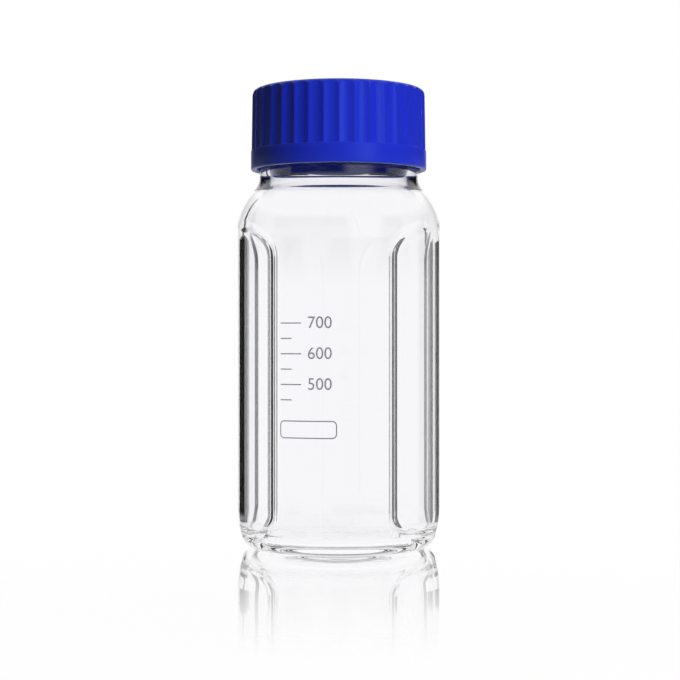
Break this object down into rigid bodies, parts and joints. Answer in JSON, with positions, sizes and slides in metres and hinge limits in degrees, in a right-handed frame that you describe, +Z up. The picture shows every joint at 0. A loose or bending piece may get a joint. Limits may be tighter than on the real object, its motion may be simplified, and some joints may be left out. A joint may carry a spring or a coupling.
{
  "type": "wide-mouth screw cap bottle",
  "caption": "Clear glass wide-mouth laboratory bottle with side grip hollows, a pouring ring and a fluted blue screw cap that unscrews and lifts off.",
  "frame": {"origin": "centre of the foot ring on the ground plane", "axes": "+Z up along the bottle's axis, the printed front faces -Y, the grips are left and right of it"},
  "size_m": [0.101, 0.101, 0.227],
  "materials": {
    "clear_glass": "polished clear",
    "ring_plastic": "smooth",
    "seal_rubber": "smooth matte",
    "cap_plastic": "fine matte"
  },
  "bodies": {
    "vessel": {"glass_bottle": "clear_glass", "pouring_ring": "ring_plastic"},
    "liner": {"seal_liner": "seal_rubber"},
    "cap": {"screw_cap": "cap_plastic"}
  },
  "joints": [
    {"name": "cap_lift", "type": "slide", "parent": "vessel", "child": "liner", "axis": [0, 0, 1], "range_m": [0, 0.0391]},
    {"name": "cap_turn", "type": "hinge", "parent": "liner", "child": "cap", "pos_m": [0, 0, 0.205], "axis": [0, 0, 1], "range_deg": [0, 1170]}
  ],
  "couplings": [
    {"joint": "cap_lift", "follows": "cap_turn", "m_per_rad": 0.0019099}
  ]
}
